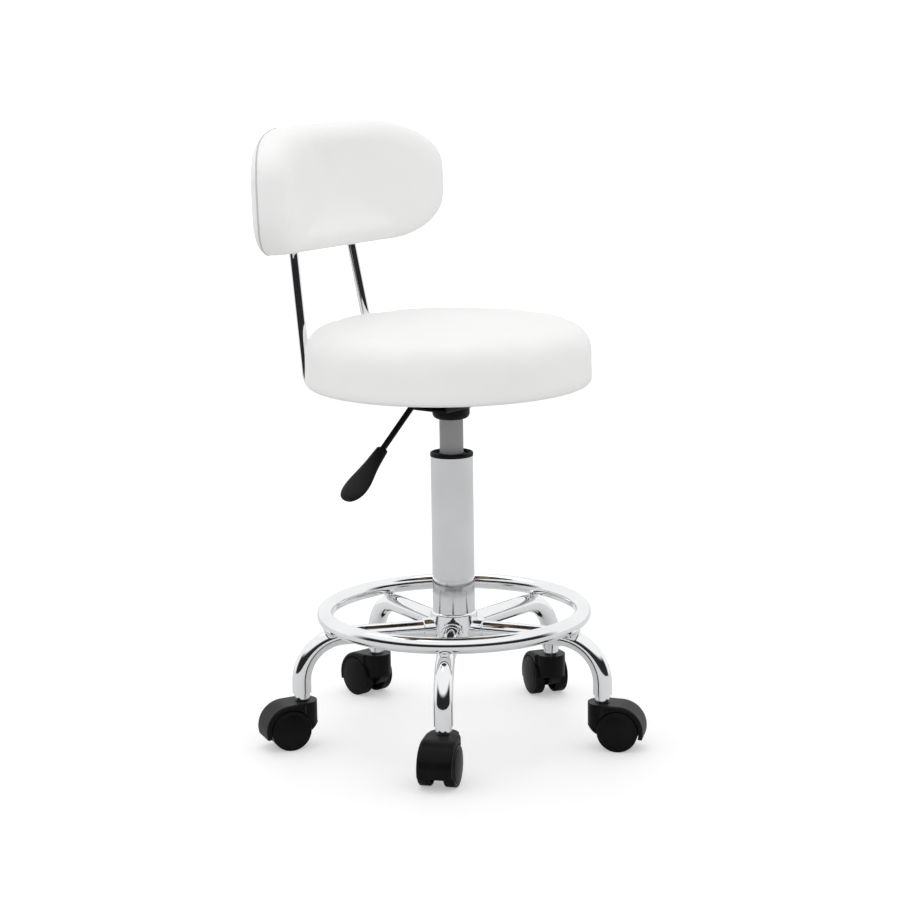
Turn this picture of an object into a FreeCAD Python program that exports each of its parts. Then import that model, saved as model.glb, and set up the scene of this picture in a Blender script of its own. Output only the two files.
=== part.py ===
"""Rolling stylist stool with a round seat, a curved back pad, a gas lift, a foot ring and five casters.

Units are millimetres. +Z is up, and the origin is on the floor, on the axis of the column.
A sitter faces -Y, the back pad stands on the +Y side, and the lift lever leaves towards -X.
"""
import math
import os

import FreeCAD
import Part

V = FreeCAD.Vector
UP = V(0, 0, 1)
OUT = V(1, 0, 0)
SIDE = V(0, 1, 0)
ORIGIN = V(0, 0, 0)

# ---------------------------------------------------------------- driving sizes
FIT = 0.03            # radial gap of pieces that are pressed or seated together
RUN = 0.06            # radial gap of pieces that turn or slide in each other
PAST = 1.0            # how far a cutting tool reaches past the surface it cuts
NEAR = 0.01           # tolerance when edges are picked by where they lie
PARALLEL = 0.9        # an edge counts as parallel to a direction above this cosine

# base: five bent legs in a hub, a foot ring on top of them
LEG_COUNT = 5
FIRST_LEG_DEG = -3.3
STEM_CIRCLE_R = 186.0
LEG_R = 11.0
LEG_WALL = 1.5
LEG_AXIS_Z = 129.0
LEG_BEND_R = 52.0
LEG_END_Z = 68.2
HUB_R = 28.0
HUB_BOTTOM_Z = 109.0
HUB_TOP_Z = 150.0
HUB_SHOULDER_R = 3.0
HUB_CHAMFER = 1.0
HUB_LEDGE = 3.0       # width of the ledge that the column tube stands on
BOSS_R = 13.5
BOSS_END = 39.0
BOSS_ROOT = 8.0       # how deep in the hub each boss starts
BOSS_EDGE_R = 1.5
SOCKET_DEPTH_R = 29.5
LEG_END_GAP = 0.3
RING_R = 153.0
RING_TUBE_R = 9.5
RING_Z = 147.5
WELD_R = 6.5
WELD_CIRCLE_R = 152.0

# casters: direction in which each one trails at rest, in degrees from +X, in the order of the legs
TRAIL_DEG = (57.0, 78.0, 148.0, 203.0, 295.0)
TRAIL = 19.5
WHEEL_R = 24.0
WHEEL_INNER_Y = 8.4
WHEEL_FACE_Y = 21.6
WHEEL_DOME_Y = 24.2
WHEEL_FLOOR_Y = 17.6
WHEEL_HUB_R = 8.0
WHEEL_RIM_R = 20.5
WHEEL_ROUND_R = 1.6
WHEEL_STEP = 0.7
AXLE_R = 3.0
AXLE_HALF = 19.4
AXLE_FIT = 0.01
AXLE_END_GAP = 1.0
HOOD_TOP_Z = 55.0
HOOD_HALF_WIDTH = 20.6
HOOD_HEAD_R = 17.5
HOOD_R = 30.2
HOOD_INNER_R = 25.2
HOOD_SKIRT_Z = 28.0
HOOD_WEB_HALF = 7.8
HOOD_WEB = ((-16.5, 29.0), (-10.5, 20.0), (3.5, 14.0), (27.5, 14.0))   # its lower outline, from the back
HOOD_WEB_TURN_DEG = (-8.0, 60.0, 130.0)
HOOD_WEB_OVERLAP = 0.8
HOOD_EDGE_R = 3.8
HOOD_BROW_X = 3.0
COVER_END_DEG = -17.0
STEM_R = 5.5
STEM_END_GAP = 0.5
STEM_COLLAR_R = 9.4
STEM_BOTTOM_Z = 40.0
STEM_TOP_Z = 88.0
STEM_COLLAR_Z = (55.4, 63.8)
PLUG_TOP_Z = 76.5

# column: outer tube, guide bushing, and the fixed end of the gas lift
COLUMN_R = 25.0
COLUMN_WALL = 1.5
COLUMN_BOTTOM_Z = 112.0
COLUMN_TOP_Z = 337.0
BUSHING_BOTTOM_Z = 262.0
COLLAR_R = 25.4
COLLAR_TOP_Z = 341.5
COLLAR_ROUND = 1.4
COLLAR_RIM = 3.0      # width of the collar's raised rim, outside its dished middle
DISH_SLOPE = 3.5
DISH_DEPTH = 3.0
WIPER_WIDTH = 2.0     # raised lip round the cylinder
WIPER_HEIGHT = 2.0
WIPER_TAPER = 0.6
END_PLATE_Z = (114.0, 118.0)
END_PLATE_PLAY = 0.2
ROD_R = 5.0
ROD_NECK_R = 4.0
ROD_BOTTOM_Z = 110.0
ROD_TOP_Z = 304.0
PISTON_Z = (292.0, 302.0)
PISTON_LAND = 3.0
PISTON_WAIST = 2.0
CLIP_Z = (112.3, 113.7)
CLIP_R = 8.5
RACE_R = 16.0
RACE_THICKNESS = 2.0
RACE_PLAY = 0.5
BALL_R = 2.35
BALL_PITCH_R = 11.0
BALL_COUNT = 9
CAGE_R = (8.0, 14.0)
CAGE_HALF = 1.0
BUFFER_R = 12.0
BUFFER_HEIGHT = 12.0
BUFFER_ROUND = 3.0
GAP = 0.05

# gas cylinder: slides in the bushing and carries the seat on its tapered top
CYLINDER_R = 14.0
CYLINDER_BORE_R = 12.0
CYLINDER_BOTTOM_Z = 184.0
CYLINDER_CHAMFER = 1.0
TAPER_START_Z = 382.0
CYLINDER_TOP_Z = 401.0
TAPER_TOP_R = 13.45
LIP = 2.0
LIP_R = 10.0
GLAND_TOP_Z = 204.0
VALVE_BOTTOM_Z = 371.0
PIN_R = 2.95
PIN_BOTTOM_Z = 388.0
PIN_TOP_Z = 406.2
PIN_DOME = 1.2
PIN_ROOM = 5.0        # depth of the bore under the pin

# seat mechanism
SEAT_BOTTOM_Z = 422.0
PLATE_THICKNESS = 3.0
PLATE_HALF = 65.0
PLATE_CORNER_R = 10.0
PLATE_HOLE_R = 10.0
CHANNEL_HALF_LENGTH = 45.0
CHANNEL_HALF_WIDTH = 28.0
CHANNEL_SHEET = 2.5
CHANNEL_BOTTOM_Z = 396.0
BELL_R = 22.0
BELL_BOTTOM_Z = 381.5
BELL_LIP_R = 15.5
BELL_TOP_Z = 399.0
BOLT_R = 3.0
BOLT_HEAD_R = 5.8
BOLT_HEAD_HEIGHT = 4.0
BOLT_LENGTH = 10.0
BOLT_HOLE_R = 3.3
PLATE_BOLT_OFFSET = 52.0
TEE_NUT_R = 4.5
TEE_FLANGE_R = 9.0
TEE_FLANGE = 1.2
TEE_RECESS = 1.0

# lever
LEVER_R = 3.5
LEVER_Z = 410.0
LEVER_PIVOT_X = -25.0
LEVER_INNER_X = 7.0
LEVER_BEND_X = -69.0
LEVER_BEND_R = 14.0
LEVER_SLOPE_DEG = 36.0
LEVER_STRAIGHT = 77.0
LEVER_BARREL_R = 6.0
LEVER_BARREL_HALF = 6.0
LEVER_PIN_R = 2.5
GRIP_OVERLAP = 50.0
GRIP_SECTIONS = ((0.0, 7.5, 5.5), (12.0, 9.0, 5.5), (36.0, 13.0, 5.6), (60.0, 17.0, 5.0), (73.0, 13.5, 4.2),
                 (79.0, 6.0, 2.6))

# seat
SEAT_R = 168.0
SEAT_SETBACK = 3.0
SEAT_EDGE_R = 10.0
SEAT_WALL_TOP_Z = 462.0
SEAT_SHOULDER_ARC = (160.0, 482.5)
SEAT_SHOULDER = (138.0, 492.0)
SEAT_CROWN_Z = 499.5
BOARD_R = 152.0
BOARD_THICKNESS = 12.0

# backrest: two bars, converging upwards and leaning back, and a pad curved round the sitter
BAR_R = 6.0
BAR_REF_Z = 480.0
BAR_REF_X = 61.0
BAR_REF_Y = 173.6
BAR_LEAN_DEG = 9.6
BAR_CONVERGE_DEG = 4.05
BAR_START_Y = 84.0
BAR_LOW_BEND_R = 22.0
BAR_HIGH_BEND_Z = 586.0
BAR_HIGH_BEND_R = 80.0
BAR_TOP_Z = 655.0
BRACKET_HALF_LENGTH = 82.0
BRACKET_Y = (88.0, 122.0)
BRACKET_BOLTS = ((48.0, 97.0), (48.0, 113.0))
PAD_BOTTOM_Z = 573.8
PAD_HEIGHT = 146.0
PAD_THICKNESS = 45.6
PAD_MID_Y = 182.0
PAD_CURVE_R = 271.0
PAD_LEAN_DEG = 1.3
PAD_HALF_WIDTH = 164.0
PAD_TOP_CORNER = (96.0, 65.0)
PAD_BOTTOM_CORNER = (67.0, 61.0)
PAD_FRONT_EDGE_R = 18.5
PAD_BACK_EDGE_R = 10.0
BACK_BOARD_DEPTH = (-1.8, 7.2)   # its faces, behind the pad's middle surface
BACK_BOARD_INSET = 28.0
BACK_SCREW_R = 2.5
BACK_SCREW_HEAD_R = 4.5
BACK_SCREW_HEAD = 1.8
BACK_SCREW_GRIP = 8.5
BACK_SCREW_Z = (604.0, 638.0)

# ---------------------------------------------------------------- worked out sizes
PLATE_BOTTOM_Z = SEAT_BOTTOM_Z - PLATE_THICKNESS
BAR_LOW_Z = PLATE_BOTTOM_Z - BAR_R
WHEEL_CENTRE = V(TRAIL, 0, WHEEL_R)
ARC_SHARE = 1 - math.sqrt(0.5)         # how far in from its corner the middle of a quarter arc lies
LEVER_SLOPE = math.radians(LEVER_SLOPE_DEG)
LEG_ANGLES = [FIRST_LEG_DEG + 360.0 / LEG_COUNT * k for k in range(LEG_COUNT)]


# ---------------------------------------------------------------- helpers
def save(name, *solids):
    """Write one node; several solids are kept apart in one file."""
    shape = solids[0] if len(solids) == 1 else Part.makeCompound(list(solids))
    for solid in shape.Solids:
        if not solid.isValid():
            print("not valid:", name)
    shape.exportStep("parts/%s.step" % name)


def rod(radius, low, high, x=0.0, y=0.0):
    """Upright cylinder from height low to height high."""
    return Part.makeCylinder(radius, high - low, V(x, y, low), UP)


def ring(inner, outer, low, high):
    return rod(outer, low, high).cut(rod(inner, low - PAST, high + PAST))


def crosswise(radius, centre, half):
    """Cylinder along Y that reaches half to each side of its centre."""
    return Part.makeCylinder(radius, 2 * half, centre - SIDE * half, SIDE)


def runs_along(edge, direction):
    return abs(edge.tangentAt(edge.FirstParameter).dot(direction)) > PARALLEL


def box(x0, x1, y0, y1, z0, z1):
    return Part.makeBox(x1 - x0, y1 - y0, z1 - z0, V(x0, y0, z0))


def wire(start, *steps):
    """Closed wire: a step is one point for a straight side, or (point on arc, end) for an arc."""
    edges = []
    here = start
    for step in steps + (start,):
        if isinstance(step, tuple):
            middle, end = step
            edges.append(Part.Arc(here, middle, end).toShape())
        else:
            end = step
            if (end - here).Length > 1e-6:
                edges.append(Part.LineSegment(here, end).toShape())
        here = end
    return Part.Wire(edges)


def lathe(start, *steps, centre=ORIGIN, axis=UP):
    """Solid of revolution of a closed outline drawn in the XZ plane."""
    return Part.Face(wire(start, *steps)).revolve(centre, axis, 360)


def rounded_corner(before, corner, after, radius):
    """Start, middle and end of the arc of the given radius that rounds a corner."""
    back = (before - corner).normalize()
    ahead = (after - corner).normalize()
    half = 0.5 * back.getAngle(ahead)
    inward = (back + ahead).normalize()
    centre = corner + inward * (radius / math.sin(half))
    reach = radius / math.tan(half)
    return corner + back * reach, centre - inward * radius, corner + ahead * reach


def quarter(start, corner, end):
    """Arc step of a lathe outline that rounds a square corner."""
    return corner + (start + end - corner * 2) * ARC_SHARE, end


def dome(edge_r, edge_height, top_height):
    """Arc step of a lathe outline, from radius edge_r over to the axis, level at the axis."""
    sag = top_height - edge_height
    sphere_r = (edge_r ** 2 + sag ** 2) / (2 * sag)
    half_drop = sphere_r - math.sqrt(sphere_r ** 2 - (0.5 * edge_r) ** 2)
    return V(0.5 * edge_r, 0, top_height - half_drop), V(0, 0, top_height)


def path(points, radii):
    """Open wire through the points, with its corners rounded."""
    edges = []
    here = points[0]
    for before, corner, after, radius in zip(points, points[1:], points[2:], radii):
        start, middle, end = rounded_corner(before, corner, after, radius)
        edges.append(Part.LineSegment(here, start).toShape())
        edges.append(Part.Arc(start, middle, end).toShape())
        here = end
    edges.append(Part.LineSegment(here, points[-1]).toShape())
    return Part.Wire(edges)


def sweep(points, radii, radius):
    """Round bar along a path."""
    spine = path(points, radii)
    direction = points[1] - points[0]
    circle = Part.Wire([Part.Circle(points[0], direction, radius).toShape()])
    return spine.makePipeShell([circle], True, True)


def turned(shape, degrees, x=0.0, y=0.0):
    """Copy turned about Z and then moved."""
    copy = shape.copy()
    copy.rotate(ORIGIN, UP, degrees)
    copy.translate(V(x, y, 0))
    return copy


def around(shape, angles):
    return [turned(shape, angle) for angle in angles]


def polar(radius, degrees, z=0.0):
    angle = math.radians(degrees)
    return V(radius * math.cos(angle), radius * math.sin(angle), z)


# ---------------------------------------------------------------- base
def leg_points():
    return [V(SOCKET_DEPTH_R + LEG_END_GAP, 0, LEG_AXIS_Z), V(STEM_CIRCLE_R, 0, LEG_AXIS_Z),
            V(STEM_CIRCLE_R, 0, LEG_END_Z)]


def make_leg():
    """Bent tube: level out of the hub, then a quarter turn down to its caster."""
    outside = sweep(leg_points(), [LEG_BEND_R], LEG_R)
    inside = sweep(leg_points(), [LEG_BEND_R], LEG_R - LEG_WALL)
    return outside, outside.cut(inside)


def make_hub():
    """Turned hub with a rounded shoulder and one boss for each leg."""
    ledge_r = COLUMN_R - HUB_LEDGE
    shoulder_start = V(HUB_R, 0, HUB_TOP_Z - HUB_SHOULDER_R)
    shoulder_end = V(HUB_R - HUB_SHOULDER_R, 0, HUB_TOP_Z)
    body = lathe(V(ledge_r, 0, HUB_BOTTOM_Z), V(HUB_R - HUB_CHAMFER, 0, HUB_BOTTOM_Z),
                 V(HUB_R, 0, HUB_BOTTOM_Z + HUB_CHAMFER), shoulder_start,
                 quarter(shoulder_start, V(HUB_R, 0, HUB_TOP_Z), shoulder_end), V(ledge_r, 0, HUB_TOP_Z))
    boss_start = HUB_R - BOSS_ROOT
    boss = Part.makeCylinder(BOSS_R, BOSS_END - boss_start, V(boss_start, 0, LEG_AXIS_Z), OUT)
    end_edges = [edge for edge in boss.Edges if abs(edge.CenterOfMass.x - BOSS_END) < NEAR]
    boss = boss.makeFillet(BOSS_EDGE_R, end_edges)
    socket = Part.makeCylinder(LEG_R + FIT, BOSS_END, V(SOCKET_DEPTH_R, 0, LEG_AXIS_Z), OUT)
    hub = body.fuse(around(boss, LEG_ANGLES)).removeSplitter()
    hub = hub.cut(around(socket, LEG_ANGLES))
    return hub.cut(rod(COLUMN_R + FIT, COLUMN_BOTTOM_Z, HUB_TOP_Z + PAST))


def make_foot_ring(leg_outsides):
    """Foot ring, with one weld bead where it crosses each leg."""
    tube = Part.makeTorus(RING_R, RING_TUBE_R, V(0, 0, RING_Z), UP)
    hollow = Part.makeTorus(RING_R, RING_TUBE_R - LEG_WALL, V(0, 0, RING_Z), UP)
    beads = []
    for angle, leg in zip(LEG_ANGLES, leg_outsides):
        bead = Part.makeSphere(WELD_R, polar(WELD_CIRCLE_R, angle, RING_Z - RING_TUBE_R))
        beads.append(bead.cut([tube, leg]))
    return [tube.cut(hollow)] + beads


def make_column():
    tube = ring(COLUMN_R - COLUMN_WALL, COLUMN_R, COLUMN_BOTTOM_Z, COLUMN_TOP_Z)
    end_plate = ring(ROD_R + END_PLATE_PLAY, COLUMN_R - COLUMN_WALL - FIT, *END_PLATE_Z)
    bore = CYLINDER_R + RUN
    wall = COLUMN_R - COLUMN_WALL - FIT
    brim = V(COLLAR_R, 0, COLLAR_TOP_Z - COLLAR_ROUND)
    rim_outer = V(COLLAR_R - COLLAR_ROUND, 0, COLLAR_TOP_Z)
    rim_inner = V(COLLAR_R - COLLAR_RIM, 0, COLLAR_TOP_Z)
    dish_z = COLLAR_TOP_Z - DISH_DEPTH
    dish = V(rim_inner.x - DISH_SLOPE, 0, dish_z)
    wiper_r, wiper_z = bore + WIPER_WIDTH, dish_z + WIPER_HEIGHT
    bushing = lathe(V(bore, 0, BUSHING_BOTTOM_Z), V(wall, 0, BUSHING_BOTTOM_Z), V(wall, 0, COLUMN_TOP_Z),
                    V(COLLAR_R, 0, COLUMN_TOP_Z), brim, quarter(brim, V(COLLAR_R, 0, COLLAR_TOP_Z), rim_outer),
                    rim_inner, quarter(rim_inner, V(rim_inner.x, 0, dish_z), dish),
                    V(wiper_r, 0, dish_z), V(wiper_r - WIPER_TAPER, 0, wiper_z), V(bore, 0, wiper_z))
    return tube, end_plate, bushing


# ---------------------------------------------------------------- gas lift
def make_thrust_bearing():
    """Lower race, cage with its balls, upper race and rubber buffer, from the end plate upwards."""
    low = END_PLATE_Z[1] + GAP
    lower_race = ring(ROD_R + RACE_PLAY, RACE_R, low, low + RACE_THICKNESS)
    ball_z = low + RACE_THICKNESS + GAP + BALL_R
    balls = []
    cage = ring(*CAGE_R, ball_z - CAGE_HALF, ball_z + CAGE_HALF)
    for k in range(BALL_COUNT):
        centre = polar(BALL_PITCH_R, 360.0 / BALL_COUNT * k, ball_z)
        balls.append(Part.makeSphere(BALL_R, centre))
        cage = cage.cut(Part.makeSphere(BALL_R + GAP, centre))
    high = ball_z + BALL_R + GAP
    upper_race = ring(ROD_R + FIT, RACE_R, high, high + RACE_THICKNESS)
    low = high + RACE_THICKNESS
    top = low + BUFFER_HEIGHT
    side = V(BUFFER_R, 0, top - BUFFER_ROUND)
    buffer_ring = lathe(V(ROD_R + FIT, 0, low), V(BUFFER_R, 0, low), side,
                        quarter(side, V(BUFFER_R, 0, top), V(BUFFER_R - BUFFER_ROUND, 0, top)),
                        V(ROD_R + FIT, 0, top))
    return lower_race, [cage] + balls, upper_race, buffer_ring


def make_piston_rod():
    """Rod with a groove for its clip and a neck that the piston sits on, then the piston and the clip."""
    body = rod(ROD_R, ROD_BOTTOM_Z, PISTON_Z[0]).fuse(rod(ROD_NECK_R, PISTON_Z[0], ROD_TOP_Z))
    groove = ring(ROD_NECK_R, ROD_R + PAST, CLIP_Z[0] - GAP, CLIP_Z[1] + GAP)
    low, high = PISTON_Z[0] + GAP, PISTON_Z[1]
    bore, land = ROD_NECK_R + FIT, CYLINDER_BORE_R - RUN
    waist = CYLINDER_BORE_R - PISTON_WAIST
    waist_low, waist_high = PISTON_Z[0] + PISTON_LAND, high - PISTON_LAND
    piston = lathe(V(bore, 0, low), V(land, 0, low), V(land, 0, waist_low), V(waist, 0, waist_low),
                   V(waist, 0, waist_high), V(land, 0, waist_high), V(land, 0, high), V(bore, 0, high))
    clip = ring(bore, CLIP_R, *CLIP_Z)
    clip = clip.cut(box(0, CLIP_R + PAST, -ROD_NECK_R, ROD_NECK_R, CLIP_Z[0] - PAST, CLIP_Z[1] + PAST))
    return body.cut(groove), piston, clip


def make_gas_cylinder():
    """Pressure tube with a tapered top, its bottom gland, its valve body and the release pin."""
    tube = lathe(V(LIP_R, 0, CYLINDER_BOTTOM_Z), V(CYLINDER_R - CYLINDER_CHAMFER, 0, CYLINDER_BOTTOM_Z),
                 V(CYLINDER_R, 0, CYLINDER_BOTTOM_Z + CYLINDER_CHAMFER), V(CYLINDER_R, 0, TAPER_START_Z),
                 V(TAPER_TOP_R, 0, CYLINDER_TOP_Z), V(LIP_R, 0, CYLINDER_TOP_Z),
                 V(LIP_R, 0, CYLINDER_TOP_Z - LIP), V(CYLINDER_BORE_R, 0, CYLINDER_TOP_Z - LIP),
                 V(CYLINDER_BORE_R, 0, CYLINDER_BOTTOM_Z + LIP), V(LIP_R, 0, CYLINDER_BOTTOM_Z + LIP))
    gland = ring(ROD_R + RUN, CYLINDER_BORE_R - FIT, CYLINDER_BOTTOM_Z + LIP, GLAND_TOP_Z)
    valve = rod(CYLINDER_BORE_R - FIT, VALVE_BOTTOM_Z, CYLINDER_TOP_Z - LIP)
    valve = valve.fuse(rod(LIP_R - FIT, CYLINDER_TOP_Z - LIP, CYLINDER_TOP_Z))
    valve = valve.cut(rod(PIN_R + RUN, PIN_BOTTOM_Z - PIN_ROOM, CYLINDER_TOP_Z + PAST))
    pin = lathe(V(0, 0, PIN_BOTTOM_Z), V(PIN_R, 0, PIN_BOTTOM_Z), V(PIN_R, 0, PIN_TOP_Z - PIN_DOME),
                dome(PIN_R, PIN_TOP_Z - PIN_DOME, PIN_TOP_Z))
    return tube, gland, valve, pin


# ---------------------------------------------------------------- seat mechanism
def bolt(x, y):
    """Hexagon bolt up through a plate into its tee nut."""
    corners = [polar(BOLT_HEAD_R, 60.0 * k) + V(x, y, PLATE_BOTTOM_Z - BOLT_HEAD_HEIGHT) for k in range(6)]
    head = Part.Face(Part.makePolygon(corners + corners[:1])).extrude(UP * BOLT_HEAD_HEIGHT)
    return head.fuse(rod(BOLT_R, PLATE_BOTTOM_Z, SEAT_BOTTOM_Z + BOLT_LENGTH, x, y))


def tee_nut(x, y):
    """Barrel in the board with a flange on the board's top."""
    board_top = SEAT_BOTTOM_Z + BOARD_THICKNESS
    barrel = rod(TEE_NUT_R, SEAT_BOTTOM_Z + TEE_RECESS, board_top, x, y)
    flange = rod(TEE_FLANGE_R, board_top, board_top + TEE_FLANGE, x, y)
    return barrel.fuse(flange).cut(rod(BOLT_R + FIT, SEAT_BOTTOM_Z, board_top + TEE_FLANGE + PAST, x, y))


def bolt_places():
    offsets = (-PLATE_BOLT_OFFSET, PLATE_BOLT_OFFSET)
    square = [(x, y) for x in offsets for y in offsets]
    return square + [(side * x, y) for side in (-1, 1) for x, y in BRACKET_BOLTS]


def plate_with_holes(x0, x1, y0, y1):
    """Steel plate against the seat board, with rounded corners and its bolt holes."""
    plate = box(x0, x1, y0, y1, PLATE_BOTTOM_Z, SEAT_BOTTOM_Z)
    plate = plate.makeFillet(PLATE_CORNER_R, [edge for edge in plate.Edges if runs_along(edge, UP)])
    low, high = PLATE_BOTTOM_Z - PAST, SEAT_BOTTOM_Z + PAST
    return plate.cut([rod(BOLT_HOLE_R, low, high, x, y) for x, y in bolt_places()])


def make_mechanism():
    """Seat plate, the channel welded under it, the tapered bell and the lever's pivot pin."""
    plate = plate_with_holes(-PLATE_HALF, PLATE_HALF, -PLATE_HALF, PLATE_HALF)
    plate = plate.cut(rod(PLATE_HOLE_R, PLATE_BOTTOM_Z - PAST, SEAT_BOTTOM_Z + PAST))
    half, sheet, length = CHANNEL_HALF_WIDTH, CHANNEL_SHEET, CHANNEL_HALF_LENGTH
    channel = box(-length, length, -half, half, CHANNEL_BOTTOM_Z, PLATE_BOTTOM_Z)
    low_edges = [edge for edge in channel.Edges
                 if abs(edge.CenterOfMass.z - CHANNEL_BOTTOM_Z) < NEAR and runs_along(edge, OUT)]
    channel = channel.makeFillet(sheet, low_edges)
    inside = half - sheet
    channel = channel.cut(box(-length - PAST, length + PAST, -inside, inside,
                              CHANNEL_BOTTOM_Z + sheet, PLATE_BOTTOM_Z + PAST))
    pivot_centre = V(LEVER_PIVOT_X, 0, LEVER_Z)
    pivot = crosswise(LEVER_PIN_R, pivot_centre, half)
    pivot_hole = crosswise(LEVER_PIN_R + FIT, pivot_centre, half + PAST)
    channel = channel.cut([pivot_hole, rod(BELL_R + FIT, CHANNEL_BOTTOM_Z - PAST, BELL_TOP_Z)])
    slope = (CYLINDER_R - TAPER_TOP_R) / (CYLINDER_TOP_Z - TAPER_START_Z)
    bore_top = CYLINDER_R + FIT - slope * (BELL_TOP_Z - TAPER_START_Z)
    lip = V(BELL_LIP_R, 0, BELL_BOTTOM_Z)
    shoulder = V(BELL_R, 0, BELL_BOTTOM_Z + BELL_R - BELL_LIP_R)
    bell = lathe(V(CYLINDER_R + FIT, 0, BELL_BOTTOM_Z), lip,
                 quarter(lip, V(BELL_R, 0, BELL_BOTTOM_Z), shoulder), V(BELL_R, 0, BELL_TOP_Z),
                 V(bore_top, 0, BELL_TOP_Z), V(CYLINDER_R + FIT, 0, TAPER_START_Z))
    return plate, channel, bell, pivot


def lever_outer_point(distance):
    """Point on the sloping part of the lever, measured from its bend."""
    return V(LEVER_BEND_X - distance * math.cos(LEVER_SLOPE), 0, LEVER_Z - distance * math.sin(LEVER_SLOPE))


def make_lever():
    """Bent wire with a pivot barrel, and a flat paddle grip moulded on its end."""
    wire_end = LEVER_STRAIGHT + GRIP_OVERLAP
    stick = sweep([V(LEVER_INNER_X, 0, LEVER_Z), V(LEVER_BEND_X, 0, LEVER_Z), lever_outer_point(wire_end)],
                  [LEVER_BEND_R], LEVER_R)
    pivot_centre = V(LEVER_PIVOT_X, 0, LEVER_Z)
    barrel = crosswise(LEVER_BARREL_R, pivot_centre, LEVER_BARREL_HALF)
    bore = crosswise(LEVER_PIN_R + RUN, pivot_centre, LEVER_BARREL_HALF + PAST)
    lever = stick.fuse(barrel).cut(bore)
    thick = (lever_outer_point(1) - lever_outer_point(0)).cross(SIDE)
    sections = []
    for distance, half_width, half_thickness in GRIP_SECTIONS:
        centre = lever_outer_point(LEVER_STRAIGHT + distance)
        ellipse = Part.Ellipse(centre + SIDE * half_width, centre + thick * half_thickness, centre)
        sections.append(Part.Wire([ellipse.toShape()]))
    grip = Part.makeLoft(sections, True, False)
    return lever, grip.cut(stick)


# ---------------------------------------------------------------- seat
def make_seat():
    """Upholstered seat as one crowned soft solid round the edge and top of its plywood board."""
    board = rod(BOARD_R, SEAT_BOTTOM_Z, SEAT_BOTTOM_Z + BOARD_THICKNESS, 0, SEAT_SETBACK)
    nuts = [tee_nut(x, y) for x, y in bolt_places()]
    bolts = [bolt(x, y) for x, y in bolt_places()]
    bottom = SEAT_BOTTOM_Z
    under = V(SEAT_R - SEAT_EDGE_R, 0, bottom)
    wall = V(SEAT_R, 0, bottom + SEAT_EDGE_R)
    arc_x, arc_z = SEAT_SHOULDER_ARC
    shoulder_x, shoulder_z = SEAT_SHOULDER
    cushion = lathe(V(0, 0, bottom), under, quarter(under, V(SEAT_R, 0, bottom), wall),
                    V(SEAT_R, 0, SEAT_WALL_TOP_Z), (V(arc_x, 0, arc_z), V(shoulder_x, 0, shoulder_z)),
                    dome(shoulder_x, shoulder_z, SEAT_CROWN_Z))
    cushion.translate(V(0, SEAT_SETBACK, 0))
    cushion = cushion.cut([board] + nuts)
    board_top = bottom + BOARD_THICKNESS
    holes = [rod(BOLT_R + FIT, bottom - PAST, board_top + PAST, x, y) for x, y in bolt_places()]
    return cushion, board.cut(nuts + holes), bolts, nuts


# ---------------------------------------------------------------- backrest
def bar_point(side, z):
    """Centre of a back bar at height z on its long straight stretch."""
    rise = z - BAR_REF_Z
    return V(side * (BAR_REF_X - rise * math.tan(math.radians(BAR_CONVERGE_DEG))),
             BAR_REF_Y + rise * math.tan(math.radians(BAR_LEAN_DEG)), z)


def bar_end_point(side, z):
    """Centre of a back bar at height z on its end inside the pad."""
    rise = z - BAR_HIGH_BEND_Z
    return bar_point(side, BAR_HIGH_BEND_Z) + V(0, rise * math.tan(math.radians(PAD_LEAN_DEG)), rise)


def make_bar(side):
    """Bar: level under the seat, up past its rim, and upright inside the pad."""
    low = bar_point(side, BAR_LOW_Z)
    high = bar_point(side, BAR_HIGH_BEND_Z)
    points = [V(low.x, BAR_START_Y, BAR_LOW_Z), low, high, bar_end_point(side, BAR_TOP_Z)]
    return sweep(points, [BAR_LOW_BEND_R, BAR_HIGH_BEND_R], BAR_R)


def back_screw(side, z):
    """Screw through a bar from behind and into the back board."""
    on_bar = bar_end_point(side, z)
    inward = (V(0, PAD_MID_Y - PAD_CURVE_R, z) - on_bar).normalize()
    seat = on_bar - inward * BAR_R
    shank = Part.makeCylinder(BACK_SCREW_R, 2 * BAR_R + BACK_SCREW_GRIP, seat, inward)
    head_end = seat - inward * BACK_SCREW_HEAD
    return shank.fuse(Part.makeCylinder(BACK_SCREW_HEAD_R, BACK_SCREW_HEAD, head_end, inward))


def leaned(shape):
    """Tip a shape from upright to the lean of the pad, about the pad's bottom edge."""
    copy = shape.copy()
    copy.rotate(V(0, PAD_MID_Y, PAD_BOTTOM_Z), OUT, -PAD_LEAN_DEG)
    return copy


def curved_slab(front, back):
    """Slab bent about an upright axis, with its faces given by depth behind the middle surface."""
    centre = V(0, PAD_MID_Y - PAD_CURVE_R, PAD_BOTTOM_Z)
    outer = Part.makeCylinder(PAD_CURVE_R + back, PAD_HEIGHT, centre, UP)
    return outer.cut(Part.makeCylinder(PAD_CURVE_R + front, PAD_HEIGHT, centre, UP))


def behind_middle(edge):
    """How far the middle of an edge lies behind the pad's middle surface."""
    middle = edge.valueAt(0.5 * (edge.FirstParameter + edge.LastParameter))
    return math.hypot(middle.x, middle.y - PAD_MID_Y + PAD_CURVE_R) - PAD_CURVE_R


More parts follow.
